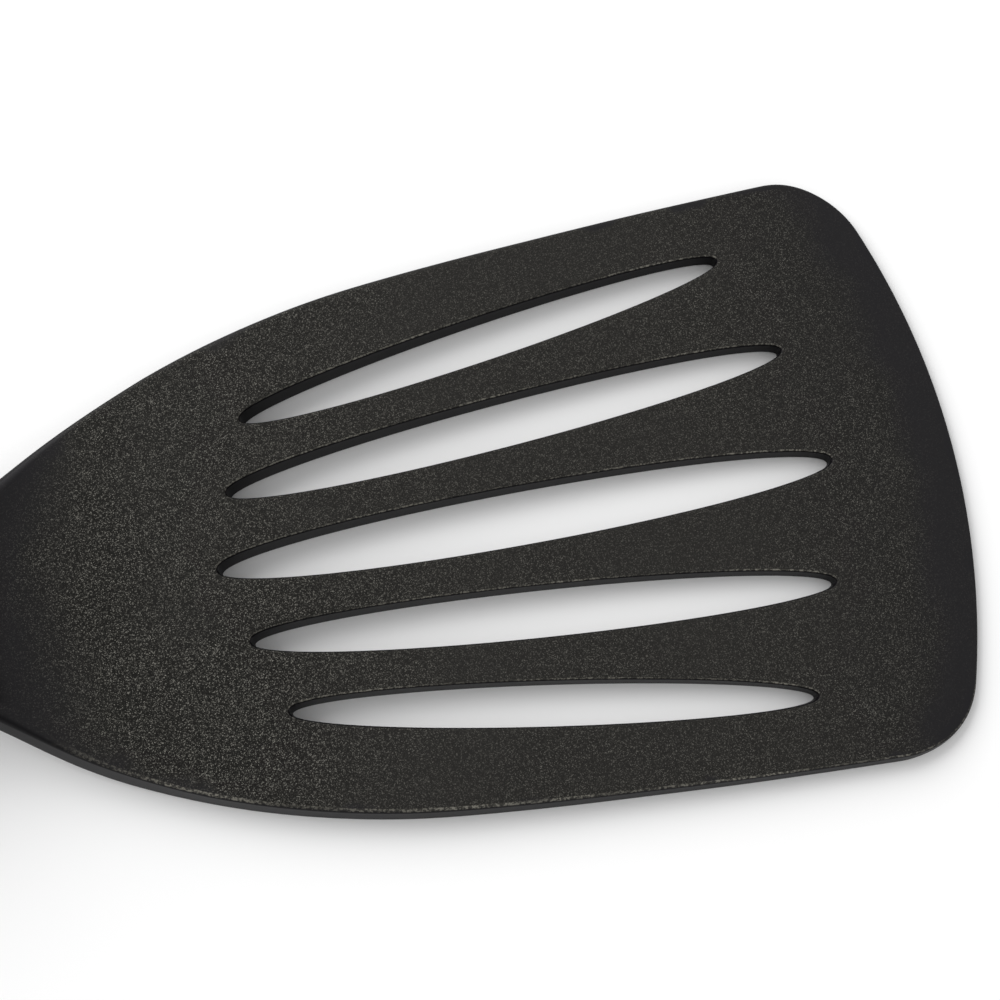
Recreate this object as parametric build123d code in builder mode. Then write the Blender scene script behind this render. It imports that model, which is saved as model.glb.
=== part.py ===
from build123d import *
import os
from math import asin, cos, degrees, radians, sin, sqrt, tan

os.makedirs("parts", exist_ok=True)

# Grill spatula. Millimetres, +Z up, +X towards the blade. The origin is the middle of the
# footprint, on the plane that the tool lies on: the blade's flat underside and the back of
# the handle both rest on it.

# ---------------------------------------------------------------- driving dimensions
LENGTH = 370.0  # leading edge to the end of the hanging ring

# blade head; along its length, sizes are measured from the middle of the middle slot
NOSE_X = 62.4  # leading edge
NOSE_RADIUS = 108.0
CORNER_Y = 43.8  # half width where the sides would meet the leading edge
CORNER_RADIUS = 13.2
SIDE_DRAFT = 11.0  # degrees, side walls lean in towards the top
SIDE_CURVE = [(24.0, 42.25), (0.6, 40.45), (-22.6, 37.95), (-45.0, 32.35), (-61.0, 25.4), (-78.0, 15.1)]
PLATE_BACK_TOP = 9.9  # height of the top face at the back end of the plate
TOP_BLEND = (-66.0, 6.1)  # a point of the top face between there and the flat part
FLAT_BACK = -50.0  # the flat part of the top face runs from here to the bevel
BACK_SLOPE = -0.42  # slopes of the top face at the back end and at the leading edge
BEVEL_SLOPE = -0.22
PLATE_SPACE = 11.0  # taller than the plate
PROFILE_REACH = 50.0  # wider than half the plate
PLATE_T = 3.5  # thickness at the middle of the blade
PLATE_TAPER = 0.02  # thickness lost per mm towards the leading edge
BEVEL_X = 53.5  # where the top face starts to fall to the leading edge
NOSE_T = 1.3

# drain slots: middle (x, y), half length, half width and angle; the outer ones are mirrored
SLOT_MIDDLE = (0.0, 0.0, 44.0, 4.2, 0.0)
SLOT_INNER = (-0.25, 13.9, 41.0, 3.65, 4.73)
SLOT_OUTER = (-1.6, 26.65, 36.5, 3.15, 9.2)
SLOT_DRAFT = 0.25  # each wall leans in by this much at the underside

# neck
NECK_ANGLE = 30.0  # degrees above the blade
NECK_BEND_RADIUS = 75.0
NECK_W = 19.0
NECK_H = 10.4
NECK_CORNER = 4.4
SOCKET_DEPTH = 24.0

# shaft
SHAFT_W = 14.0
SHAFT_T = 3.2
SHAFT_EDGE = 1.1  # corner radius of its section
SHAFT_BEND_RADIUS = 45.0
SHAFT_IN_HANDLE = 96.0
SHAFT_FIT = 0.1  # gap all round in the socket, the bolster and the shells
END_GAP = 0.3  # gap at the ends of the shaft and the tongue

# rivets through the neck
RIVET_R = 2.0
RIVET_HEAD_R = 3.7
RIVET_HEAD_H = 1.6
RIVET_SEAT = 4.5  # height of each spot face from the neck's axis
RIVET_STATIONS = (7.0, 18.0)  # from the end of the neck

# handle; stations are measured from its front face along its axis
HANDLE_ANGLE = 9.0  # degrees, falls towards the back
GRIP_SECTIONS = [(0.0, 21.5, 17.5), (22.0, 23.5, 19.5), (58.0, 27.5, 23.0), (100.0, 23.5, 20.0),
                 (124.0, 26.0, 21.8), (131.0, 23.5, 19.5)]  # station, width, height
GRIP_LENGTH = 131.0
FLARE_STATION = 124.0
FLARE_H = 21.8
PARTING_GAP = 0.15
PAD_DEPTH = 2.4
PAD_PROUD = 0.35
PAD_MIDDLE = 62.0
PAD_L = 88.0
PAD_W = 13.0
PAD_GAP = 0.1  # between a pad's edge and its recess
GRIP_SPACE = 20.0  # taller than half the handle
GROOVE_DEPTH = 0.8
GROOVE_L = 8.6
GROOVE_W = 1.8
GROOVE_PITCH = 7.5
GROOVE_COUNT = 9
BOLSTER_L = 9.0
# bolster sections: station, half width and half height
BOLSTER_SECTIONS = [(-9.0, 8.5, 6.0), (-7.8, 9.3, 6.9), (-4.0, 10.2, 8.0), (0.0, 11.0, 9.0)]

# screws
SCREW_STATIONS = (20.0, 70.0, 120.0)
SCREW_R = 1.5
SCREW_FIT = 0.2
SCREW_HEAD_R = 3.0
SCREW_HEAD_H = 2.0
SCREW_HEAD_SEAT = -3.6  # height of the underside of each head from the handle's axis
SCREW_TOP = 5.4
DRIVE_L = 3.2  # cross recess in each head
DRIVE_W = 0.8
DRIVE_DEPTH = 1.2

# end cap and hanging ring
PIVOT_STATION = 136.5
CAP_R = 8.8
CAP_HALF_W = 8.8
CAP_EDGE = 2.0
TONGUE_W = 10.0
TONGUE_H = 7.0
TONGUE_START = 110.0
WIRE_R = 1.5
RING_GAP = 0.4  # between the arms and the flats of the end cap
RING_ARM = 14.0  # straight part of each arm
RING_PIN_DEPTH = 4.2  # how far each end goes into the end cap
RING_FIT = 0.05
RING_CORNER = 1.8

# ---------------------------------------------------------------- derived places
blade_x = LENGTH / 2 - NOSE_X
blade_plane = Plane((blade_x, 0, 0))
blade_side = Plane((blade_x, 0, 0), x_dir=(1, 0, 0), z_dir=(0, -1, 0))

slope = radians(HANDLE_ANGLE)
pitch = radians(NECK_ANGLE)
ring_half_w = CAP_HALF_W + RING_GAP + WIRE_R
ring_reach = RING_ARM + ring_half_w

# the handle's axis, so that its flare and the lowered ring both touch the resting plane
flare_z = FLARE_H / 2 * cos(slope) + 0.1
pivot_z = flare_z - (PIVOT_STATION - FLARE_STATION) * sin(slope)
ring_angle = asin((pivot_z - WIRE_R) / ring_reach)
pivot_x = -LENGTH / 2 + ring_reach * cos(ring_angle) + WIRE_R
grip_x = pivot_x + PIVOT_STATION * cos(slope)
grip_z = pivot_z + PIVOT_STATION * sin(slope)

# on these planes X is sideways, Y is up and Z runs back along the handle
grip = Plane((grip_x, 0, grip_z), x_dir=(0, -1, 0), z_dir=(-cos(slope), 0, -sin(slope)))
grip_up = Vector(-sin(slope), 0, cos(slope))


def grip_point(station, up=0.0):
    """A point in the handle's middle plane, as (x, z)."""
    return (grip_x - station * cos(slope) - up * sin(slope),
            grip_z - station * sin(slope) + up * cos(slope))


def screw_plane(station):
    """The handle's middle plane at a screw, facing up."""
    x, z = grip_point(station)
    return Plane((x, 0, z), z_dir=grip_up)


# the shaft leaves the bolster along the handle's axis, then bends down into the neck
bend_start = grip_point(-BOLSTER_L - 3)
bend_centre = (bend_start[0] + SHAFT_BEND_RADIUS * sin(slope),
               bend_start[1] - SHAFT_BEND_RADIUS * cos(slope))
neck_end = (bend_centre[0] + SHAFT_BEND_RADIUS * sin(pitch),
            bend_centre[1] + SHAFT_BEND_RADIUS * cos(pitch))
bend_top = (bend_centre[0], bend_centre[1] + SHAFT_BEND_RADIUS)
neck = Plane((neck_end[0], 0, neck_end[1]), x_dir=(0, 1, 0), z_dir=(cos(pitch), 0, -sin(pitch)))
neck_normal = (sin(pitch), 0, cos(pitch))


def neck_point(distance):
    """A point on the neck's axis, this far towards the blade from the neck's end."""
    return (neck_end[0] + distance * cos(pitch), 0, neck_end[1] - distance * sin(pitch))


def rivet_plane(station, side):
    """The neck's middle plane at a rivet, facing up (side 1) or down (side -1)."""
    return Plane(neck_point(station), x_dir=(0, 1, 0), z_dir=(side * sin(pitch), 0, side * cos(pitch)))


# the underside bends up from the resting plane and meets the neck's straight lower face
bend_rise = NECK_BEND_RADIUS * (1 - cos(pitch))
lower_face_z = neck_end[1] - NECK_H / 2 / cos(pitch)
bend_foot = neck_end[0] + (lower_face_z - bend_rise) / tan(pitch) + NECK_BEND_RADIUS * sin(pitch) - blade_x
print("underside starts to bend at", round(bend_foot, 2), "and the neck ends at",
      round(neck_end[0] - blade_x, 2), round(neck_end[1], 2))
print("ring lies at", round(degrees(ring_angle), 2), "deg, pivot at", round(pivot_x, 2), round(pivot_z, 2))


def underside(x):
    """Height of the underside in the bend, x from the middle of the blade."""
    return NECK_BEND_RADIUS - sqrt(NECK_BEND_RADIUS**2 - (bend_foot - x) ** 2)


def plate_top(x):
    """Height of the flat, slightly tapered top face."""
    return PLATE_T - PLATE_TAPER * x


# ---------------------------------------------------------------- blade head
plate_back = SIDE_CURVE[-1][0]
bend_middle = (bend_foot + plate_back) / 2
front = NOSE_X + 1
corner_x = NOSE_X - NOSE_RADIUS + sqrt(NOSE_RADIUS**2 - CORNER_Y**2)
slots = [SLOT_MIDDLE]
for x, y, half_length, half_width, angle in (SLOT_INNER, SLOT_OUTER):
    slots.append((x, y, half_length, half_width, angle))
    slots.append((x, -y, half_length, half_width, -angle))
# neck sections: x from the middle of the blade, half width, lowest and highest point, corner
NECK_SECTIONS = [(-70.0, 16.4, underside(-70.0) + 0.5, 6.3, 1.5),
                 (-78.0, 13.7, underside(-78.0) + 0.1, 10.0, 1.9),
                 (-84.0, 11.5, underside(-84.0), 14.2, 2.6),
                 (-91.0, 9.8, underside(-91.0), 20.2, 4.1)]

with BuildPart() as blade_head:
    with BuildSketch(blade_plane):
        with BuildLine():
            RadiusArc((NOSE_X, 0), (corner_x, CORNER_Y), -NOSE_RADIUS)
            Spline((corner_x, CORNER_Y), *SIDE_CURVE)
            Line(SIDE_CURVE[-1], (plate_back, 0))
            mirror(about=Plane.XZ)
        outline = make_face()
        fillet(outline.vertices().group_by(Axis.X)[-1], CORNER_RADIUS)
    extrude(amount=PLATE_SPACE, taper=SIDE_DRAFT)
    with BuildSketch(blade_side.offset(-PROFILE_REACH)):
        with BuildLine():
            Line((front, 0), (bend_foot, 0))
            ThreePointArc((bend_foot, 0), (bend_middle, underside(bend_middle)),
                          (plate_back, underside(plate_back)))
            Line((plate_back, underside(plate_back)), (plate_back, PLATE_BACK_TOP))
            Spline((plate_back, PLATE_BACK_TOP), TOP_BLEND, (FLAT_BACK, plate_top(FLAT_BACK)),
                   tangents=[(1, BACK_SLOPE), (1, -PLATE_TAPER)])
            Line((FLAT_BACK, plate_top(FLAT_BACK)), (BEVEL_X, plate_top(BEVEL_X)))
            Spline((BEVEL_X, plate_top(BEVEL_X)), (front, NOSE_T),
                   tangents=[(1, -PLATE_TAPER), (1, BEVEL_SLOPE)])
            Line((front, NOSE_T), (front, 0))
        make_face()
    extrude(amount=2 * PROFILE_REACH, mode=Mode.INTERSECT)
    for x, y, half_length, half_width, angle in slots:
        for height, lean in ((0, SLOT_DRAFT), (PLATE_T, 0), (2 * PLATE_T, -SLOT_DRAFT)):
            with BuildSketch(blade_plane.offset(height)):
                with Locations((x, y)):
                    Ellipse(half_length - lean, half_width - lean, rotation=angle)
        loft(ruled=True, mode=Mode.SUBTRACT)
    for x, half_width, low, high, corner in NECK_SECTIONS:
        with BuildSketch(Plane((blade_x + x, 0, (low + high) / 2), x_dir=(0, 1, 0), z_dir=(1, 0, 0))):
            RectangleRounded(2 * half_width, high - low, corner)
    with BuildSketch(neck):
        RectangleRounded(NECK_W, NECK_H, NECK_CORNER)
    loft()
    with BuildSketch(neck):
        RectangleRounded(SHAFT_W + 2 * SHAFT_FIT, SHAFT_T + 2 * SHAFT_FIT, SHAFT_EDGE)
    extrude(amount=SOCKET_DEPTH, mode=Mode.SUBTRACT)
    for station in RIVET_STATIONS:
        with BuildSketch(Plane(neck_point(station), z_dir=neck_normal)):
            Circle(RIVET_R)
        extrude(amount=NECK_H, both=True, mode=Mode.SUBTRACT)
        for side in (1, -1):
            with BuildSketch(rivet_plane(station, side).offset(RIVET_SEAT)):
                Circle(RIVET_HEAD_R + SHAFT_FIT)
            extrude(amount=NECK_H, mode=Mode.SUBTRACT)
blade_head.part.label = "blade_head"
export_step(blade_head.part, "parts/blade_head.step")

# ---------------------------------------------------------------- shaft
with BuildPart() as shaft:
    with BuildLine(Plane.XZ) as shaft_path:
        socket_end = neck_point(SOCKET_DEPTH - END_GAP)
        Line((socket_end[0], socket_end[2]), neck_end)
        ThreePointArc(neck_end, bend_top, bend_start)
        Line(bend_start, grip_point(SHAFT_IN_HANDLE))
    with BuildSketch(Plane(socket_end, x_dir=(0, 1, 0), z_dir=shaft_path.line % 0)):
        RectangleRounded(SHAFT_W, SHAFT_T, SHAFT_EDGE)
    sweep()
    for station in RIVET_STATIONS:
        with BuildSketch(Plane(neck_point(station), z_dir=neck_normal)):
            Circle(RIVET_R)
        extrude(amount=NECK_H, both=True, mode=Mode.SUBTRACT)
    for station in SCREW_STATIONS[:2]:
        with BuildSketch(screw_plane(station)):
            Circle(SCREW_R + SCREW_FIT)
        extrude(amount=SHAFT_T, both=True, mode=Mode.SUBTRACT)
shaft.part.label = "shaft"
export_step(shaft.part, "parts/shaft.step")

# ---------------------------------------------------------------- rivets
with BuildPart() as head_rivets:
    for station in RIVET_STATIONS:
        for side in (1, -1):
            with BuildSketch(rivet_plane(station, side)):
                Circle(RIVET_R)
            extrude(amount=RIVET_SEAT)
            with BuildSketch(rivet_plane(station, side).offset(RIVET_SEAT)):
                Circle(RIVET_HEAD_R)
            extrude(amount=RIVET_HEAD_H)
head_rivets.part.label = "head_rivets"
export_step(head_rivets.part, "parts/head_rivets.step")

# ---------------------------------------------------------------- handle form


def grip_form(grow):
    """The handle's outer shape as one solid, made larger all round by grow."""
    with BuildPart() as form:
        for station, width, height in GRIP_SECTIONS:
            with BuildSketch(grip.offset(station)):
                Ellipse(width / 2 + grow, height / 2 + grow)
        loft()
    return form.part


def pad_plane(side):
    """The handle's middle plane at the pads, facing up (side 1) or down (side -1)."""
    x, z = grip_point(PAD_MIDDLE)
    return Plane((x, 0, z), x_dir=(-cos(slope), 0, -sin(slope)), z_dir=grip_up * side)


def pad_space(side, spread):
    """The column of space above (side 1) or below (side -1) a grip pad, as one solid."""
    with BuildPart() as column:
        with BuildSketch(pad_plane(side)):
            SlotOverall(PAD_L + 2 * spread, PAD_W + 2 * spread)
        extrude(amount=GRIP_SPACE)
    return column.part


handle_form = grip_form(0)
handle_core = grip_form(-PAD_DEPTH)
pad_form = grip_form(PAD_PROUD)
groove_floor = grip_form(PAD_PROUD - GROOVE_DEPTH)


# room for the shaft and for the end cap's tongue, cut from both shells
with BuildPart() as inner_space:
    with BuildSketch(grip.offset(-1)):
        RectangleRounded(SHAFT_W + 2 * SHAFT_FIT, SHAFT_T + 2 * SHAFT_FIT, SHAFT_EDGE)
    extrude(amount=SHAFT_IN_HANDLE + 1 + END_GAP)
    with BuildSketch(grip.offset(TONGUE_START - END_GAP)):
        Rectangle(TONGUE_W + 2 * SHAFT_FIT, TONGUE_H + 2 * SHAFT_FIT)
    extrude(amount=GRIP_LENGTH - TONGUE_START + 1)


def shell(side):
    """One half of the handle: side 1 is the upper shell and side -1 the lower one."""
    x, z = grip_point(0)
    parting = Plane((x, 0, z), x_dir=(0, 1, 0), z_dir=grip_up * side).offset(PARTING_GAP / 2)
    with BuildPart() as half:
        add(handle_form)
        split(bisect_by=parting, keep=Keep.TOP)
        add(pad_space(side, PAD_GAP) - handle_core, mode=Mode.SUBTRACT)
        add(inner_space.part, mode=Mode.SUBTRACT)
        for station in SCREW_STATIONS:
            if side > 0:
                with BuildSketch(screw_plane(station)):
                    Circle(SCREW_R + SHAFT_FIT / 2)
                extrude(amount=SCREW_TOP + END_GAP, mode=Mode.SUBTRACT)
            else:
                with BuildSketch(screw_plane(station)):
                    Circle(SCREW_R + SCREW_FIT)
                extrude(amount=SCREW_HEAD_SEAT, mode=Mode.SUBTRACT)
                with BuildSketch(screw_plane(station).offset(SCREW_HEAD_SEAT)):
                    Circle(SCREW_HEAD_R + SCREW_FIT)
                extrude(amount=-GRIP_SPACE, mode=Mode.SUBTRACT)
    return half.part


# ---------------------------------------------------------------- handle shells
handle_upper_shell = shell(1)
handle_upper_shell.label = "handle_upper_shell"
export_step(handle_upper_shell, "parts/handle_upper_shell.step")
handle_lower_shell = shell(-1)
handle_lower_shell.label = "handle_lower_shell"
export_step(handle_lower_shell, "parts/handle_lower_shell.step")

# ---------------------------------------------------------------- grip pads


def grip_pad(side):
    """A soft pad that lies in its shell's recess, with a row of cross grooves."""
    with BuildPart() as bands:
        with BuildSketch(pad_plane(side)):
            with GridLocations(GROOVE_PITCH, 0, GROOVE_COUNT, 1):
                SlotOverall(GROOVE_L, GROOVE_W, rotation=90)
        extrude(amount=GRIP_SPACE)
    with BuildPart() as pad:
        add(pad_form & pad_space(side, 0))
        add(handle_core, mode=Mode.SUBTRACT)
        add(bands.part - groove_floor, mode=Mode.SUBTRACT)
    return pad.part


grip_pad_upper = grip_pad(1)
grip_pad_upper.label = "grip_pad_upper"
export_step(grip_pad_upper, "parts/grip_pad_upper.step")
grip_pad_lower = grip_pad(-1)
grip_pad_lower.label = "grip_pad_lower"
export_step(grip_pad_lower, "parts/grip_pad_lower.step")

# ---------------------------------------------------------------- bolster
with BuildPart() as bolster:
    for station, half_width, half_height in BOLSTER_SECTIONS:
        with BuildSketch(grip.offset(station)):
            Ellipse(half_width, half_height)
    loft()
    with BuildSketch(grip.offset(-BOLSTER_L - 1)):
        RectangleRounded(SHAFT_W + 2 * SHAFT_FIT, SHAFT_T + 2 * SHAFT_FIT, SHAFT_EDGE)
    extrude(amount=BOLSTER_L + 2, mode=Mode.SUBTRACT)
bolster.part.label = "bolster"
export_step(bolster.part, "parts/bolster.step")

# ---------------------------------------------------------------- screws
with BuildPart() as handle_screws:
    for station in SCREW_STATIONS:
        with BuildSketch(screw_plane(station).offset(SCREW_HEAD_SEAT)):
            Circle(SCREW_R)
        extrude(amount=SCREW_TOP - SCREW_HEAD_SEAT)
        with BuildSketch(screw_plane(station).offset(SCREW_HEAD_SEAT - SCREW_HEAD_H)):
            Circle(SCREW_HEAD_R)
        extrude(amount=SCREW_HEAD_H)
        with BuildSketch(screw_plane(station).offset(SCREW_HEAD_SEAT - SCREW_HEAD_H)):
            Rectangle(DRIVE_L, DRIVE_W)
            Rectangle(DRIVE_W, DRIVE_L)
        extrude(amount=DRIVE_DEPTH, mode=Mode.SUBTRACT)
handle_screws.part.label = "handle_screws"
export_step(handle_screws.part, "parts/handle_screws.step")

# ---------------------------------------------------------------- end cap
pivot_side = Plane((pivot_x, 0, pivot_z), x_dir=(-cos(slope), 0, -sin(slope)), z_dir=(0, 1, 0))
cap_front = GRIP_LENGTH - PIVOT_STATION
with BuildPart() as end_cap:
    with BuildSketch(pivot_side.offset(-CAP_HALF_W)):
        Circle(CAP_R)
        with Locations((cap_front / 2, 0)):
            Rectangle(-cap_front, 2 * CAP_R)
        split(bisect_by=Plane.YZ.offset(cap_front), keep=Keep.TOP)
    extrude(amount=2 * CAP_HALF_W)
    flats = end_cap.faces().filter_by(Axis.Y)
    along = Axis((0, 0, 0), pivot_side.x_dir)
    rounded = flats.edges().filter_by(GeomType.CIRCLE) + flats.edges().filter_by(along)
    fillet(rounded, CAP_EDGE)
    with BuildSketch(grip.offset(TONGUE_START)):
        Rectangle(TONGUE_W, TONGUE_H)
    extrude(amount=GRIP_LENGTH - TONGUE_START + 1)
    with BuildSketch(screw_plane(SCREW_STATIONS[2])):
        Circle(SCREW_R + SHAFT_FIT)
    extrude(amount=TONGUE_H, both=True, mode=Mode.SUBTRACT)
    for side in (1, -1):
        hole_floor = side * (CAP_HALF_W - RING_PIN_DEPTH - END_GAP)
        with BuildSketch(Plane((pivot_x, hole_floor, pivot_z), z_dir=(0, side, 0))):
            Circle(WIRE_R + RING_FIT)
        extrude(amount=RING_PIN_DEPTH + 1, mode=Mode.SUBTRACT)
end_cap.part.label = "end_cap"
export_step(end_cap.part, "parts/end_cap.step")

# ---------------------------------------------------------------- hanging ring
# the ring is drawn in its own plane: X runs from the pivot to the bow, Y is sideways
ring_plane = Plane((pivot_x, 0, pivot_z), x_dir=(-cos(ring_angle), 0, -sin(ring_angle)),
                   z_dir=(-sin(ring_angle), 0, cos(ring_angle)))
pin_end = CAP_HALF_W - RING_PIN_DEPTH
with BuildPart() as hanging_ring:
    with BuildLine(ring_plane) as wire:
        FilletPolyline((0, pin_end), (0, ring_half_w), (RING_ARM, ring_half_w), radius=RING_CORNER)
        ThreePointArc((RING_ARM, ring_half_w), (ring_reach, 0), (RING_ARM, -ring_half_w))
        FilletPolyline((RING_ARM, -ring_half_w), (0, -ring_half_w), (0, -pin_end), radius=RING_CORNER)
    with BuildSketch(Plane(wire.line @ 0, z_dir=wire.line % 0)):
        Circle(WIRE_R)
    sweep()
hanging_ring.part.label = "hanging_ring"
export_step(hanging_ring.part, "parts/hanging_ring.step")
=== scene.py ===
from math import asin, atan, cos, pi, radians, sin, sqrt, tan

import bmesh
import bpy
import numpy as np
from mathutils import Matrix, Vector
from mathutils.geometry import delaunay_2d_cdt


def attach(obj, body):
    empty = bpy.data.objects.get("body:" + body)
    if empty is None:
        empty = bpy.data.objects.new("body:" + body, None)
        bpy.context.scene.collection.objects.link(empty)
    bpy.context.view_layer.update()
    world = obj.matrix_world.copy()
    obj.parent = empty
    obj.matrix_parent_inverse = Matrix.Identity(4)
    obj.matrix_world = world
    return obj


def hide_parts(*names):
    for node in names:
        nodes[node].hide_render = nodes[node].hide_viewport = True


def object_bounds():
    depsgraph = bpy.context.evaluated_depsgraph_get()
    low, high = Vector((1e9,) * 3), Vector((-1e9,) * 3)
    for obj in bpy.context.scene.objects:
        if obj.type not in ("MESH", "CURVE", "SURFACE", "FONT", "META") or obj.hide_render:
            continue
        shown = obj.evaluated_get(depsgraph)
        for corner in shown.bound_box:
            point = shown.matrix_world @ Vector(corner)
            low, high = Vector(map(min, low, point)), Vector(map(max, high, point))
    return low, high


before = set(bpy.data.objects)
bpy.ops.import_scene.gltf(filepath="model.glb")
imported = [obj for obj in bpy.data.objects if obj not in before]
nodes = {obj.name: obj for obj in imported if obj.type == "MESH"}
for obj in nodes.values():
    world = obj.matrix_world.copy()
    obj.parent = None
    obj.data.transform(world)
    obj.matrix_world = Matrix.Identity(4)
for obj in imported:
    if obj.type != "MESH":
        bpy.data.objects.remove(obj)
cad_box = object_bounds()

# Sizes are in millimetres and turned into metres where a mesh is made. The head is described
# unrolled: s runs along it from the middle of the middle slot towards the leading edge, y is
# across it and h is the height above its underside, which is flat and then bends up.
MM = 0.001

# leading edge, the arcs at its two corners and the bevel that thins it
NOSE = 62.4
NOSE_RADIUS = 108.0
CORNER_RADIUS = 13.2
NOSE_T = 1.35
BEVEL_W = 9.5
BEVEL_POWER = 1.7

# plate, which thins by PLATE_TAPER per millimetre towards the leading edge, and its bend
PLATE_T = 3.5
PLATE_TAPER = 0.02
BEND_FOOT = -50.44
BEND_RADIUS = 75.0
BEND_ANGLE = radians(30.0)

# neck, and the stations between which the head thickens and its section becomes the neck's
NECK_END = -113.95
NECK_H = 10.4
NECK_THICKENS = (-64.0, -103.0)
NECK_SECTION = (-60.0, -104.0)

# half width of the underside along the side, from the front corner to the neck's end
SIDE = [(60.0, 44.05), (42.5, 43.25), (31.1, 42.65), (19.8, 41.95), (8.6, 41.1), (-2.5, 40.2), (-13.4, 39.12),
        (-24.2, 37.68), (-34.8, 35.4), (-45.2, 32.28), (-56.3, 27.8), (-67.4, 21.93), (-76.0, 16.3),
        (-84.0, 12.0), (-92.0, 10.0), (-101.0, 9.5), (NECK_END - 4.0, 9.5)]

# how far the outline sits to one side of the slots: on the plate, its drift per millimetre, its
# step near the leading edge, and the stations between which it dies away at the neck
SKEW = -0.29
SKEW_DRIFT = 0.0042
SKEW_STEP = -0.65
SKEW_STEPS = (46.0, 58.0)
SKEW_DIES = (-78.0, -106.0)

# each slot's middle (s and y), half length, half width and turn in degrees
SLOTS = [(0.0, 0.0, 44.0, 4.2, 0.0), (-0.25, 13.9, 41.0, 3.65, 4.73), (-1.6, 26.55, 36.5, 3.25, 9.2),
         (-0.4, -13.95, 40.9, 3.6, -4.73), (-1.8, -26.72, 36.3, 3.08, -9.2)]
SLOT_LEAN = radians(4.0)
SLOT_DRAW = 0.2
SLOT_ROUNDING = 0.45
SLOT_LOW_ROUNDING = 0.15

# outer wall: its lean, and its rounding on the plate, which grows towards the neck, and at the neck
WALL_LEAN = radians(11.0)
WALL_ROUNDING = 0.55
WALL_ROUNDING_GAIN = 0.4
WALL_ROUNDING_GROWS = (45.0, -30.0)
WALL_LOW_ROUNDING = 0.3
NECK_ROUNDING = 4.4
MOST_ROUNDING = 0.42  # share of the height that one rounding may take
END_ROUNDING = 0.8

# rivets, at these distances from the neck's end, and the round seats under their heads
RIVETS = [7.0, 18.0]
SEAT_R = 3.8
SEAT_DEPTH = 0.7
RIVET_R = 2.0
RIVET_HEAD_R = 3.7
RIVET_PROUD = 0.9
RIVET_DOME = 1.0

# socket for the shaft in the neck's end
SOCKET_W = 14.2
SOCKET_H = 3.4
SOCKET_CORNER = 1.1
SOCKET_DEPTH = 3.0
SOCKET_LIP = 0.3

# how finely curves and faces are divided
SIDE_POINTS = 230
CORNER_POINTS = 30
NOSE_POINTS = 60
END_STEP = 15  # degrees
SLOT_POINTS = 144
CIRCLE_POINTS = 48
DOME_STEPS = 12
WALL_STEPS = 7
SLOT_STEPS = 5
SOCKET_STEPS = 6
TOP_SPACING = 2.2
LOW_SPACING = 2.6
END_SPACING = 2.0
ROW_PITCH = 0.866  # rows of a triangular grid, as a share of the spacing
RIM_CLEARANCE = 0.45  # least gap from a grid point to a rim, as a share of the spacing
MERGE_DISTANCE = 1e-7

blade_x = cad_box[1][0] / MM - NOSE


# ---------------------------------------------------------------- curves
def smooth_curve(points):
    """A natural cubic spline through (x, y) points, as a function."""
    data = np.array(sorted(points))
    x, y = data[:, 0], data[:, 1]
    gap = np.diff(x)
    count = len(x)
    matrix = np.eye(count)
    right = np.zeros(count)
    for i in range(1, count - 1):
        matrix[i, i - 1:i + 2] = gap[i - 1], 2 * (gap[i - 1] + gap[i]), gap[i]
        right[i] = 6 * ((y[i + 1] - y[i]) / gap[i] - (y[i] - y[i - 1]) / gap[i - 1])
    bend = np.linalg.solve(matrix, right)

    def value(at):
        i = min(max(int(np.searchsorted(x, at)) - 1, 0), count - 2)
        a = (x[i + 1] - at) / gap[i]
        b = (at - x[i]) / gap[i]
        curve = ((a**3 - a) * bend[i] + (b**3 - b) * bend[i + 1]) * gap[i] ** 2 / 6
        return a * y[i] + b * y[i + 1] + curve

    return value


def smoothstep(start, end, at):
    """0 at start and 1 at end, held beyond both; start may be the greater of the two."""
    t = min(max((at - start) / (end - start), 0.0), 1.0)
    return t * t * (3 - 2 * t)


side_width = smooth_curve(SIDE)


def thickness(s, y):
    """Thickness of the head, from the leading edge's bevel to the neck."""
    flat = PLATE_T - PLATE_TAPER * s
    from_nose = NOSE_RADIUS - sqrt((s - NOSE + NOSE_RADIUS) ** 2 + y * y)
    if from_nose < BEVEL_W:
        fall = (1 - max(from_nose, 0.0) / BEVEL_W) ** BEVEL_POWER
        return flat - (flat - NOSE_T) * fall
    neck = smoothstep(*NECK_THICKENS, s)
    return flat * (1 - neck) + NECK_H * neck


def skew(s):
    """The outline sits a little to one side of the slots, as it came out of its mould."""
    plate = SKEW + SKEW_DRIFT * min(s, SKEW_STEPS[0]) + SKEW_STEP * smoothstep(*SKEW_STEPS, s)
    return plate * (1 - smoothstep(*SKEW_DIES, s))


def to_part(s, y, h):
    """Unrolled head coordinates to the part's frame, in metres."""
    turned = min(max((BEND_FOOT - s) / BEND_RADIUS, 0.0), BEND_ANGLE)
    x = s if s >= BEND_FOOT else BEND_FOOT - BEND_RADIUS * sin(turned)
    z = BEND_RADIUS * (1 - cos(turned))
    beyond = max(BEND_FOOT - BEND_RADIUS * BEND_ANGLE - s, 0.0)
    x -= beyond * cos(turned)
    z += beyond * sin(turned)
    return ((blade_x + x + h * sin(turned)) * MM, y * MM, (z + h * cos(turned)) * MM)


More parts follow.
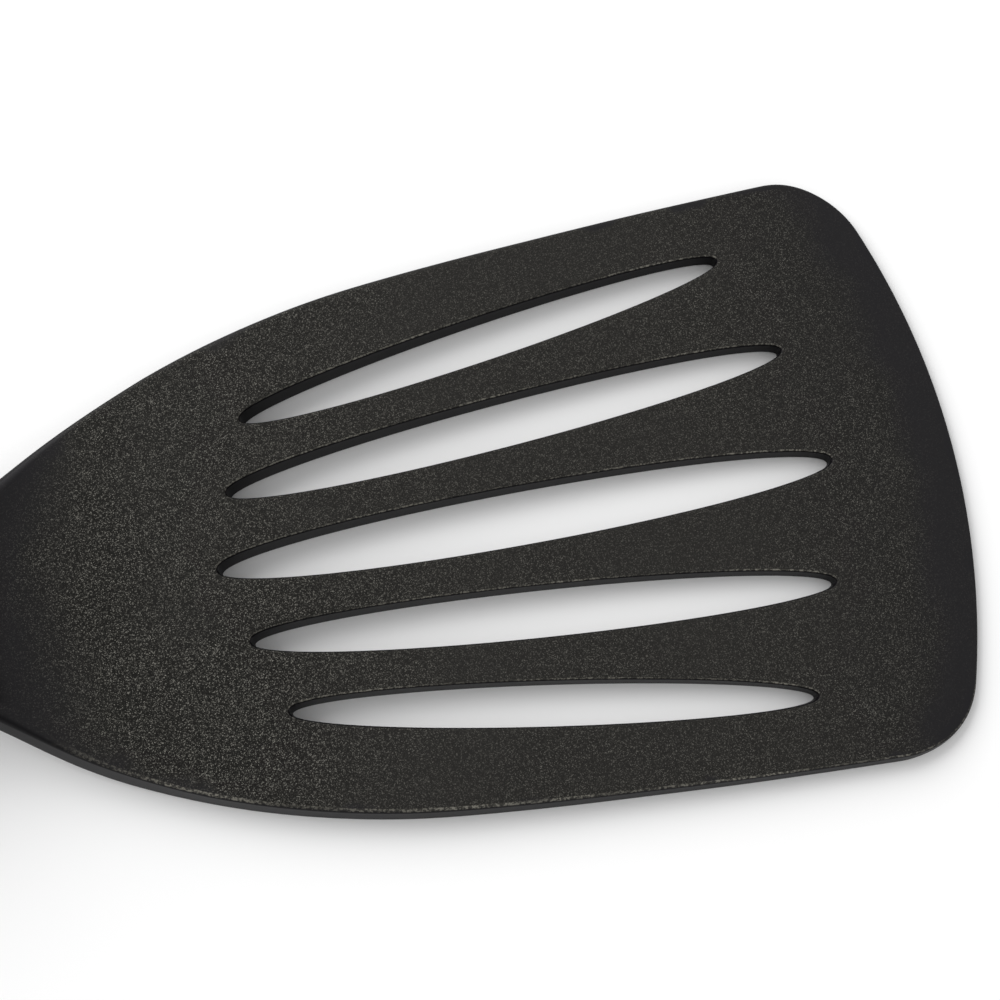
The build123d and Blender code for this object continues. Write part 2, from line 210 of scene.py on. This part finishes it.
# ---------------------------------------------------------------- outlines
def front_corner():
    """Centre and tangent points of the arc between the side and the leading edge."""
    nose_centre = Vector((NOSE - NOSE_RADIUS, 0))
    reach = NOSE_RADIUS - CORNER_RADIUS
    # halves the stretch of the side that the arc may start on
    low, high = 30.0, 58.0
    for _ in range(60):
        s = (low + high) / 2
        slope = (side_width(s + 0.01) - side_width(s - 0.01)) / 0.02
        normal = Vector((slope, -1)).normalized()
        centre = Vector((s, side_width(s))) + normal * CORNER_RADIUS
        if (centre - nose_centre).length < reach:
            low = s
        else:
            high = s
    on_nose = nose_centre + (centre - nose_centre).normalized() * NOSE_RADIUS
    return centre, Vector((s, side_width(s))), on_nose


def half_outline():
    """The underside's outline from the neck's end along +y to the middle of the leading edge."""
    centre, on_side, on_nose = front_corner()
    stations = [NECK_END + END_ROUNDING * (1 - cos(radians(turned))) for turned in range(0, 90, END_STEP)]
    stations += list(np.linspace(NECK_END + END_ROUNDING, on_side.x, SIDE_POINTS)[:-1])
    points = [(float(s), side_width(float(s))) for s in stations]
    start = (on_side - centre).angle_signed(Vector((1, 0)))
    end = (on_nose - centre).angle_signed(Vector((1, 0)))
    for angle in np.linspace(start, end, CORNER_POINTS)[:-1]:
        points.append((centre.x + CORNER_RADIUS * cos(angle), centre.y + CORNER_RADIUS * sin(angle)))
    for angle in np.linspace(asin(on_nose.y / NOSE_RADIUS), 0, NOSE_POINTS):
        points.append((NOSE - NOSE_RADIUS + NOSE_RADIUS * cos(angle), NOSE_RADIUS * sin(angle)))
    return points


def outline_and_normals():
    """The open outline, neck end to neck end, with the unit normal pointing into the material."""
    half = half_outline()
    loop = [(s, y + skew(s)) for s, y in half] + [(s, -y + skew(s)) for s, y in reversed(half[:-1])]
    normals = []
    for i in range(len(loop)):
        before = Vector(loop[max(i - 1, 0)])
        after = Vector(loop[min(i + 1, len(loop) - 1)])
        along = (after - before).normalized()
        normals.append(Vector((along.y, -along.x)))
    normals[0] = Vector((0, -1))
    normals[-1] = Vector((0, 1))
    return [Vector(p) for p in loop], normals


def ellipse_and_normals(slot):
    """A slot's outline on the underside, with the unit normal pointing into the material."""
    s0, y0, half_length, half_width, angle = slot
    half_length -= SLOT_DRAW
    half_width -= SLOT_DRAW
    rotate = Matrix.Rotation(radians(angle), 2)
    loop, normals = [], []
    for k in range(SLOT_POINTS):
        t = 2 * pi * k / SLOT_POINTS
        loop.append(rotate @ Vector((half_length * cos(t), half_width * sin(t))) + Vector((s0, y0)))
        normals.append(rotate @ Vector((cos(t) / half_length, sin(t) / half_width)).normalized())
    return loop, normals


def edge_profile(height, lean, top_radius, low_radius, steps):
    """(inset, height) pairs from the top face round the wall to the underside."""
    pairs = []
    top_in = (height - top_radius) * tan(lean) + top_radius / cos(lean)
    for k in range(steps + 1):
        angle = pi / 2 + (lean - pi / 2) * k / steps
        pairs.append((top_in - top_radius * cos(angle), height - top_radius + top_radius * sin(angle)))
    low_in = low_radius * tan(lean) + low_radius / cos(lean)
    for k in range(steps + 1):
        angle = lean + (-pi / 2 - lean) * k / steps
        pairs.append((low_in - low_radius * cos(angle), low_radius + low_radius * sin(angle)))
    return pairs


def outer_edge(p):
    """The wall's profile at a point of the outline; it turns into the neck's rounded section."""
    neck = smoothstep(*NECK_SECTION, p.x)
    height = thickness(p.x, p.y)
    rounding = WALL_ROUNDING + WALL_ROUNDING_GAIN * smoothstep(*WALL_ROUNDING_GROWS, p.x)
    top_radius = min(rounding * (1 - neck) + NECK_ROUNDING * neck, height * MOST_ROUNDING)
    low_radius = min(WALL_LOW_ROUNDING * (1 - neck) + NECK_ROUNDING * neck, height * MOST_ROUNDING)
    return edge_profile(height, WALL_LEAN * (1 - neck), top_radius, low_radius, WALL_STEPS)


def slot_edge(p):
    return edge_profile(thickness(p.x, p.y), SLOT_LEAN, SLOT_ROUNDING, SLOT_LOW_ROUNDING, SLOT_STEPS)


# ---------------------------------------------------------------- blade head
class Surface:
    """Collects vertices in unrolled coordinates, and faces."""

    def __init__(self):
        self.points = []
        self.faces = []

    def add(self, s, y, h):
        self.points.append((s, y, h))
        return len(self.points) - 1

    def circle(self, s0, radius, h):
        angles = [2 * pi * k / CIRCLE_POINTS for k in range(CIRCLE_POINTS)]
        return [self.add(s0 + radius * cos(a), radius * sin(a), h) for a in angles]

    def bridge(self, a, b, closed):
        """Joins two rings with a strip of faces."""
        count = len(a)
        for i in range(count if closed else count - 1):
            j = (i + 1) % count
            self.faces.append((a[i], a[j], b[j], b[i]))

    def wall(self, loop, normals, edge, closed):
        """A wall along a loop, with the profile that edge(point) gives; returns its rings."""
        rings = []
        for k in range(len(edge(loop[0]))):
            ring = []
            for p, n in zip(loop, normals):
                inset, h = edge(p)[k]
                q = p + n * inset
                ring.append(self.add(q.x, q.y, h))
            rings.append(ring)
        for above, below in zip(rings, rings[1:]):
            self.bridge(below, above, closed)
        return rings

    def fill(self, outer, holes, flatten, lift, spacing):
        """Triangulates a face between an outer ring and holes, with a grid of points inside."""
        rings = [outer] + holes
        polygons = [[Vector(flatten(self.points[v])) for v in ring] for ring in rings]
        flat = [p for polygon in polygons for p in polygon]
        index = [v for ring in rings for v in ring]
        edges = []
        for ring in rings:
            start = len(edges)
            count = len(ring)
            edges += [(start + i, start + (i + 1) % count) for i in range(count)]
        boundary = np.array([p[:] for p in flat])
        low, high = boundary.min(axis=0), boundary.max(axis=0)
        for row, v in enumerate(np.arange(low[1] + spacing / 2, high[1], spacing * ROW_PITCH)):
            for u in np.arange(low[0] + (spacing / 2 if row % 2 else 0.0), high[0], spacing):
                if np.min(np.hypot(boundary[:, 0] - u, boundary[:, 1] - v)) > spacing * RIM_CLEARANCE:
                    flat.append(Vector((u, v)))
                    index.append(None)
        verts, _, faces, origin, _, _ = delaunay_2d_cdt(flat, edges, [], 1, 1e-6)
        placed = {}
        for face in faces:
            middle = sum((verts[v] for v in face), Vector((0, 0))) / len(face)
            if not inside(middle, polygons[0]) or any(inside(middle, hole) for hole in polygons[1:]):
                continue
            for v in face:
                if v not in placed:
                    known = [index[o] for o in origin[v] if index[o] is not None]
                    placed[v] = known[0] if known else self.add(*lift(verts[v].x, verts[v].y))
            self.faces.append(tuple(placed[v] for v in face))


def inside(point, polygon):
    hit = False
    x, y = point
    for i, a in enumerate(polygon):
        b = polygon[i - 1]
        if (a.y > y) != (b.y > y) and x < (b.x - a.x) * (y - a.y) / (b.y - a.y) + a.x:
            hit = not hit
    return hit


def rivet_seats(surface, rim_height, seat_height):
    """Blind round seats for the rivet heads; gives the rims, to be left open in the face."""
    rims = []
    for distance in RIVETS:
        rings = [surface.circle(NECK_END + distance, SEAT_R, h) for h in (rim_height, seat_height)]
        surface.bridge(rings[0], rings[1], closed=True)
        surface.faces.append(tuple(rings[1]))
        rims.append(rings[0])
    return rims


def socket_ring(surface, s):
    """A rounded rectangle round the shaft, at one station of the neck."""
    ring = []
    half_w, half_h = SOCKET_W / 2 - SOCKET_CORNER, SOCKET_H / 2 - SOCKET_CORNER
    for quarter, (side, up) in enumerate(((1, 1), (-1, 1), (-1, -1), (1, -1))):
        for k in range(SOCKET_STEPS + 1):
            angle = pi / 2 * (quarter + k / SOCKET_STEPS)
            ring.append(surface.add(s, side * half_w + SOCKET_CORNER * cos(angle),
                                    NECK_H / 2 + up * half_h + SOCKET_CORNER * sin(angle)))
    return ring


def build_head():
    surface = Surface()
    outer_rings = surface.wall(*outline_and_normals(), outer_edge, closed=False)
    top_holes, low_holes = [], []
    for slot in SLOTS:
        rings = surface.wall(*ellipse_and_normals(slot), slot_edge, closed=True)
        top_holes.append(rings[0])
        low_holes.append(rings[-1])
    top_holes += rivet_seats(surface, NECK_H, NECK_H - SEAT_DEPTH)
    low_holes += rivet_seats(surface, 0.0, SEAT_DEPTH)

    def plan(point):
        return point[:2]

    surface.fill(outer_rings[0], top_holes, plan, lambda s, y: (s, y, thickness(s, y)), TOP_SPACING)
    surface.fill(outer_rings[-1], low_holes, plan, lambda s, y: (s, y, 0.0), LOW_SPACING)
    # the end of the neck, with the socket that the shaft goes into
    end_loop = [ring[0] for ring in outer_rings] + [ring[-1] for ring in reversed(outer_rings)]
    mouth = socket_ring(surface, NECK_END)
    bottom = socket_ring(surface, NECK_END + SOCKET_DEPTH)
    surface.bridge(mouth, bottom, closed=True)
    surface.faces.append(tuple(bottom))
    surface.fill(end_loop, [mouth], lambda point: point[1:], lambda y, h: (NECK_END, y, h), END_SPACING)
    return surface


def round_end(s, y, h):
    """Rounds the rim of the neck's end by drawing its section in towards its middle."""
    short = END_ROUNDING - (s - NECK_END)
    in_socket = abs(y) < SOCKET_W / 2 + SOCKET_LIP and abs(h - NECK_H / 2) < SOCKET_H / 2 + SOCKET_LIP
    if short <= 0 or in_socket:
        return s, y, h
    inset = END_ROUNDING - sqrt(max(END_ROUNDING**2 - short**2, 0.0))
    return s, y * (1 - inset / side_width(s)), NECK_H / 2 + (h - NECK_H / 2) * (1 - inset / (NECK_H / 2))


def mesh_object(name, points, faces):
    """A smooth-shaded object from points in the part's frame, with coincident ones merged."""
    mesh = bpy.data.meshes.new(name)
    mesh.from_pydata(points, [], faces)
    bm = bmesh.new()
    bm.from_mesh(mesh)
    bmesh.ops.remove_doubles(bm, verts=bm.verts, dist=MERGE_DISTANCE)
    bmesh.ops.recalc_face_normals(bm, faces=bm.faces)
    bm.to_mesh(mesh)
    bm.free()
    mesh.shade_smooth()
    piece = bpy.data.objects.new(name, mesh)
    bpy.context.collection.objects.link(piece)
    weighted = piece.modifiers.new("even_shading", "WEIGHTED_NORMAL")
    weighted.keep_sharp = True
    return piece


def keep_rim_distance(piece):
    """Stores how far each vertex is from the head's outline in plan, for the nylon's grain."""
    outline = np.array([to_part(p.x, p.y, 0.0)[:2] for p in outline_and_normals()[0]])
    distances = []
    for vertex in piece.data.vertices:
        gaps = outline - np.array(vertex.co[:2])
        distances.append(float(np.hypot(gaps[:, 0], gaps[:, 1]).min()))
    piece.data.attributes.new("from_rim", "FLOAT", "POINT").data.foreach_set("value", distances)


head_surface = build_head()
head = mesh_object("nylon_head", [to_part(*round_end(*p)) for p in head_surface.points], head_surface.faces)
keep_rim_distance(head)
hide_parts("blade_head")
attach(head, "tool")


# ---------------------------------------------------------------- rivets
def rivet_profile():
    """(radius, height) pairs from the top of a rivet's domed head down to the dome underneath."""
    top = NECK_H + RIVET_PROUD
    dome_r = (RIVET_HEAD_R**2 + RIVET_DOME**2) / (2 * RIVET_DOME)
    half_angle = asin(RIVET_HEAD_R / dome_r)
    upper = []
    for k in range(DOME_STEPS + 1):
        angle = half_angle * k / DOME_STEPS
        upper.append((dome_r * sin(angle), top - dome_r * (1 - cos(angle))))
    seat = NECK_H - SEAT_DEPTH
    upper += [(RIVET_HEAD_R, seat), (RIVET_R, seat)]
    return upper + [(r, NECK_H - h) for r, h in reversed(upper)]


def build_rivets():
    surface = Surface()
    for distance in RIVETS:
        rings = [surface.circle(NECK_END + distance, r, h) for r, h in rivet_profile()]
        for a, b in zip(rings, rings[1:]):
            surface.bridge(a, b, closed=True)
    return surface


rivet_surface = build_rivets()
rivets = mesh_object("domed_rivets", [to_part(*p) for p in rivet_surface.points], rivet_surface.faces)
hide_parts("head_rivets")
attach(rivets, "tool")

# ---------------------------------------------------------------- materials
# The nylon's colours, in pairs: its dullest and brightest facets, between the facets at mid-length
# and at the front, and where it is smooth on walls (darker, painted shade) and on level faces. The single
# colour after them is the painted highlight on the rims.
FACETS = ((0.0092, 0.0088, 0.0078, 1), (0.192, 0.186, 0.164, 1))
BETWEEN = ((0.0212, 0.0202, 0.0187, 1), (0.0170, 0.0161, 0.0156, 1))
SMOOTH_WITH_SHADED_WALLS = ((0.0034, 0.0030, 0.0038, 1), (0.0156, 0.0150, 0.0165, 1))
RIM_HIGHLIGHT = (0.22, 0.21, 0.18, 1)
GRAIN_SCALE = 9300.0
GRAIN_SHARPNESS = 8.0
WANDER = 0.0014  # how far, in metres, the grain's borders stray

# stations along the head between which each of the nylon's properties changes
GRAIN_STARTS = (-73.0, -60.0)
RIM_BAND_NARROWS = (-70.0, -15.0)
GRAIN_SOFTENS = (-70.0, -5.0)
GRAIN_RETURNS = (36.0, 52.0)
TONE_FALLS = (26.0, 50.0)
# where the painted rim highlight starts
RIM_HIGHLIGHT_STARTS = (-70.0, -58.0)

STEEL = (0.33, 0.327, 0.32)
CAST = (0.32, 0.316, 0.31)
WIRE = (0.38, 0.377, 0.37)
SHELL = (0.012, 0.012, 0.0125)
SOFT = (0.02, 0.02, 0.0205)
DULLER = 0.86
LIGHTER = 1.5

# node: material's name, colour, least and most roughness, scale of the marks along X, Y and Z
METALS = {
    "shaft": ("brushed_steel", STEEL, 0.48, 0.60, (60.0, 2600.0, 2600.0)),
    "bolster": ("bolster_steel", STEEL, 0.44, 0.56, (1500.0, 60.0, 60.0)),
    "handle_screws": ("screw_steel", STEEL, 0.30, 0.42, (700.0, 700.0, 700.0)),
    "end_cap": ("cast_metal", CAST, 0.44, 0.56, (900.0, 900.0, 900.0)),
    "hanging_ring": ("wire_steel", WIRE, 0.26, 0.34, (300.0, 300.0, 300.0)),
}
RIVET_STEEL = ("rivet_steel", STEEL, 0.40, 0.48, (300.0, 300.0, 300.0))

# node: material's name, colour, roughness, scale of the grain and its depth in metres
PLASTICS = {
    "handle_upper_shell": ("shell_upper", SHELL, 0.42, 2600.0, 0.00004),
    "handle_lower_shell": ("shell_lower", SHELL, 0.42, 2600.0, 0.00004),
    "grip_pad_upper": ("soft_upper", SOFT, 0.72, 1700.0, 0.00007),
    "grip_pad_lower": ("soft_lower", SOFT, 0.72, 1700.0, 0.00007),
}


class Shade:
    """A material with short helpers for adding nodes."""

    def __init__(self, name, **sockets):
        self.material = bpy.data.materials.new(name)
        self.material.use_nodes = True
        self.tree = self.material.node_tree
        self.shader = self.tree.nodes["Principled BSDF"]
        for label, value in sockets.items():
            self.shader.inputs[label.replace("_", " ")].default_value = value
        self.place = self.node("ShaderNodeTexCoord").outputs["Object"]

    def node(self, kind, **settings):
        made = self.tree.nodes.new(kind)
        for key, value in settings.items():
            setattr(made, key, value)
        return made

    def feed(self, socket, value):
        if isinstance(value, bpy.types.NodeSocket):
            self.tree.links.new(value, socket)
        else:
            socket.default_value = value

    def math(self, operation, a, b=0.0):
        made = self.node("ShaderNodeMath", operation=operation)
        self.feed(made.inputs[0], a)
        self.feed(made.inputs[1], b)
        return made.outputs[0]

    def product(self, first, *others):
        for other in others:
            first = self.math("MULTIPLY", first, other)
        return first

    def split(self, vector):
        made = self.node("ShaderNodeSeparateXYZ")
        self.feed(made.inputs[0], vector)
        return made.outputs

    def span(self, value, low, high, to_low=0.0, to_high=1.0):
        """Maps a value smoothly from one range to another, held at both ends."""
        made = self.node("ShaderNodeMapRange", interpolation_type="SMOOTHSTEP")
        for i, item in enumerate((value, low, high, to_low, to_high)):
            self.feed(made.inputs[i], item)
        return made.outputs[0]

    def stretched(self, scale):
        made = self.node("ShaderNodeMapping")
        made.inputs["Scale"].default_value = scale
        self.feed(made.inputs["Vector"], self.place)
        return made.outputs[0]

    def noise(self, scale, detail=2.0, roughness=0.5, vector=None):
        made = self.node("ShaderNodeTexNoise")
        self.feed(made.inputs["Vector"], vector or self.place)
        made.inputs["Scale"].default_value = scale
        made.inputs["Detail"].default_value = detail
        made.inputs["Roughness"].default_value = roughness
        return made.outputs["Fac"]

    def blend(self, factor, a, b):
        made = self.node("ShaderNodeMix", data_type="RGBA")
        # the sockets of the RGBA kind of this node
        self.feed(made.inputs[0], factor)
        self.feed(made.inputs[6], a)
        self.feed(made.inputs[7], b)
        return made.outputs[2]

    def bump(self, height, distance, strength, after=None):
        made = self.node("ShaderNodeBump")
        self.feed(made.inputs["Strength"], strength)
        made.inputs["Distance"].default_value = distance
        self.feed(made.inputs["Height"], height)
        if after:
            self.feed(made.inputs["Normal"], after)
        return made.outputs[0]

    def link(self, label, value):
        self.feed(self.shader.inputs[label], value)


def nylon_material():
    """Black nylon: fine spark-eroded grain on the flat faces, smooth walls, bevel and neck."""
    m = Shade("nylon", Specular_IOR_Level=0.06)
    x, y, _ = m.split(m.place)
    _, normal_y, normal_z = m.split(m.node("ShaderNodeTexCoord").outputs["Normal"])
    tilt = m.math("ABSOLUTE", normal_z)

    def along(value, stations, to_first=0.0, to_last=1.0):
        low, high = ((blade_x + s) * MM for s in stations)
        return m.span(value, low, high, to_first, to_last)

    # how far inside the leading edge's arc, in metres
    from_centre = m.math("SUBTRACT", x, (blade_x + NOSE - NOSE_RADIUS) * MM)
    across = m.product(y, y)
    reach = m.math("SQRT", m.math("ADD", across, m.product(from_centre, from_centre)))
    from_nose = m.math("SUBTRACT", NOSE_RADIUS * MM, reach)
    wander = m.span(m.noise(90.0, 3.0), 0.3, 0.7, -WANDER, WANDER)
    on_plate = m.span(m.math("ADD", from_nose, wander), 0.0040, 0.0102, 0.16, 1.0)
    # the grain stops in a curve where the neck bends up
    bowed = m.math("SUBTRACT", x, m.product(across, 9.0))
    past_neck = along(m.math("ADD", bowed, wander), GRAIN_STARTS, 0.10, 1.0)
    level = m.span(tilt, 0.70, 0.90)
    # it also fades out along the sides, in a band that is wider towards the neck
    from_rim = m.node("ShaderNodeAttribute", attribute_name="from_rim").outputs["Fac"]
    band = along(x, RIM_BAND_NARROWS, 0.0046, 0.0010)
    inside_rim = m.span(m.math("ADD", from_rim, wander), 0.0002, band, 0.15, 1.0)
    grained = m.product(on_plate, past_neck, level, inside_rim)

    # each tiny facet has its own brightness; the grain is coarser to the eye near the neck
    facets = m.node("ShaderNodeTexVoronoi")
    m.feed(facets.inputs["Vector"], m.place)
    facets.inputs["Scale"].default_value = GRAIN_SCALE
    pick = m.node("ShaderNodeSeparateColor")
    m.feed(pick.inputs[0], facets.outputs["Color"])
    facet = m.math("POWER", pick.outputs[0], GRAIN_SHARPNESS)
    cloud = m.span(m.noise(34.0, 3.0, 0.55), 0.32, 0.68, 0.72, 1.3)
    coarse = m.math("ADD", along(x, GRAIN_SOFTENS, 1.1, 0.43), along(x, GRAIN_RETURNS, 0.0, 0.02))
    # walls take the darker colour of the smooth pair, painted shade; level faces take the nylon's own smooth
    # tone
    plain = m.blend(grained, m.blend(level, *SMOOTH_WITH_SHADED_WALLS), m.blend(along(x, TONE_FALLS), *BETWEEN))
    colour = m.blend(m.product(coarse, cloud, grained), plain, m.blend(facet, *FACETS))

    # painted highlight: a dotted light line on the rims that face -y, towards the front, where the light
    # would catch them
    rim = m.product(m.span(tilt, 0.55, 0.75), m.span(tilt, 0.985, 0.93), along(x, RIM_HIGHLIGHT_STARTS),
                    m.span(normal_y, -0.1, -0.35))
    dots = m.span(m.noise(2300.0, 2.0, 0.7), 0.44, 0.62, 0.12, 1.0)
    patches = m.span(m.noise(55.0, 2.0), 0.35, 0.6, 0.25, 0.8)
    m.link("Base Color", m.blend(m.product(rim, dots, patches), colour, RIM_HIGHLIGHT))
    m.link("Roughness", m.span(grained, 0.0, 1.0, 0.38, 0.60))
    ripple = m.bump(m.noise(120.0, 3.0), 0.00006, 0.5)
    fine = m.noise(4300.0, 3.0, 0.75)
    m.link("Normal", m.bump(fine, 0.00009, m.span(grained, 0.0, 1.0, 0.10, 0.9), after=ripple))
    return m.material


def steel_material(name, colour, low, high, scale):
    """Metal with fine marks, brushed where their scale is uneven, and a faint smeared variation."""
    m = Shade(name, Metallic=1.0)
    lines = m.noise(1.0, 3.0, 0.6, m.stretched(scale))
    smears = m.noise(35.0, 3.0)
    both = m.math("ADD", m.product(lines, 0.7), m.product(smears, 0.3))
    m.link("Roughness", m.span(both, 0.35, 0.65, low, high))
    duller = tuple(c * DULLER for c in colour)
    m.link("Base Color", m.blend(m.span(both, 0.3, 0.7), colour + (1,), duller + (1,)))
    m.link("Normal", m.bump(lines, 0.00001, 0.25))
    return m.material


def moulded_material(name, colour, rough, grain_scale, depth):
    """Moulded plastic or rubber with a fine even grain."""
    m = Shade(name, Specular_IOR_Level=0.35)
    grain = m.noise(grain_scale, 2.0, 0.6)
    cloud = m.noise(30.0, 3.0)
    mixed = m.math("ADD", m.product(grain, 0.5), m.product(cloud, 0.5))
    lighter = tuple(c * LIGHTER for c in colour)
    m.link("Base Color", m.blend(m.span(mixed, 0.35, 0.65), colour + (1,), lighter + (1,)))
    m.link("Roughness", m.span(cloud, 0.3, 0.7, rough - 0.05, rough + 0.06))
    m.link("Normal", m.bump(grain, depth, 0.5))
    return m.material


finishes = {name: steel_material(*finish) for name, finish in METALS.items()}
finishes |= {name: moulded_material(*finish) for name, finish in PLASTICS.items()}
for name, material in finishes.items():
    node_object = nodes[name]
    node_object.data.materials.clear()
    node_object.data.materials.append(material)
head.data.materials.append(nylon_material())
rivets.data.materials.append(steel_material(*RIVET_STEEL))

# ---------------------------------------------------------------- floor, light, camera
FLOOR_HALF = 30.0
FLOOR_GAP = 0.0002
PAPER = ((0.90, 0.90, 0.90, 1), (0.91, 0.91, 0.91, 1))
WORLD_STRENGTH = 0.68
KEY_OFFSET = (-0.85, 1.05, 0.80)  # from the middle of the slots, in metres
KEY_SIZE = 1.5
KEY_POWER = 32.0
LENS = 58.6
SENSOR = 36.0
AZIMUTH, TILT, ROLL = radians(25.693), radians(13.954), radians(-14.860)
CAMERA_OFFSET = Vector((4.368, -1.813, -227.878))

corners = [(-1, -1), (1, -1), (1, 1), (-1, 1)]
floor_mesh = bpy.data.meshes.new("floor")
floor_mesh.from_pydata([(a * FLOOR_HALF, b * FLOOR_HALF, 0) for a, b in corners], [], [(0, 1, 2, 3)])
floor = bpy.data.objects.new("floor", floor_mesh)
floor.location.z = cad_box[0][2] - FLOOR_GAP
bpy.context.collection.objects.link(floor)
floor_shade = Shade("paper", Roughness=0.8, Specular_IOR_Level=0.1)
tone = floor_shade.span(floor_shade.noise(6.0), 0.3, 0.7)
floor_shade.link("Base Color", floor_shade.blend(tone, *PAPER))
floor_mesh.materials.append(floor_shade.material)

world = bpy.data.worlds.new("studio")
bpy.context.scene.world = world
world.use_nodes = True
world.node_tree.nodes["Background"].inputs["Color"].default_value = (1, 1, 1, 1)
world.node_tree.nodes["Background"].inputs["Strength"].default_value = WORLD_STRENGTH

target = Vector((blade_x * MM, 0, 0))
key_place = (blade_x * MM + KEY_OFFSET[0], KEY_OFFSET[1], KEY_OFFSET[2])
light = bpy.data.lights.new("key", "AREA")
light.shape = "RECTANGLE"
light.size = light.size_y = KEY_SIZE
light.energy = KEY_POWER
lamp = bpy.data.objects.new("key", light)
lamp.location = key_place
lamp.rotation_euler = (target - Vector(key_place)).to_track_quat("-Z", "Y").to_euler()
bpy.context.collection.objects.link(lamp)

camera_data = bpy.data.cameras.new("camera")
camera_data.lens = LENS
camera_data.sensor_width = SENSOR
camera_data.clip_start = 0.01
camera = bpy.data.objects.new("camera", camera_data)
bpy.context.collection.objects.link(camera)
# the top face falls slightly towards the leading edge, and the camera was set up on it
face_tilt = Matrix.Rotation(atan(PLATE_TAPER), 3, "Y")
to_camera = Matrix.Rotation(ROLL, 3, "Z") @ Matrix.Rotation(-TILT, 3, "X") @ Matrix.Rotation(AZIMUTH, 3, "Z")
place = face_tilt @ (-(to_camera.transposed() @ CAMERA_OFFSET))
turn = (face_tilt @ to_camera.transposed()).to_4x4()
camera.matrix_world = Matrix.Translation((Vector((blade_x, 0, PLATE_T)) + place) * MM) @ turn
bpy.context.scene.camera = camera
bpy.context.scene.view_settings.view_transform = "Standard"
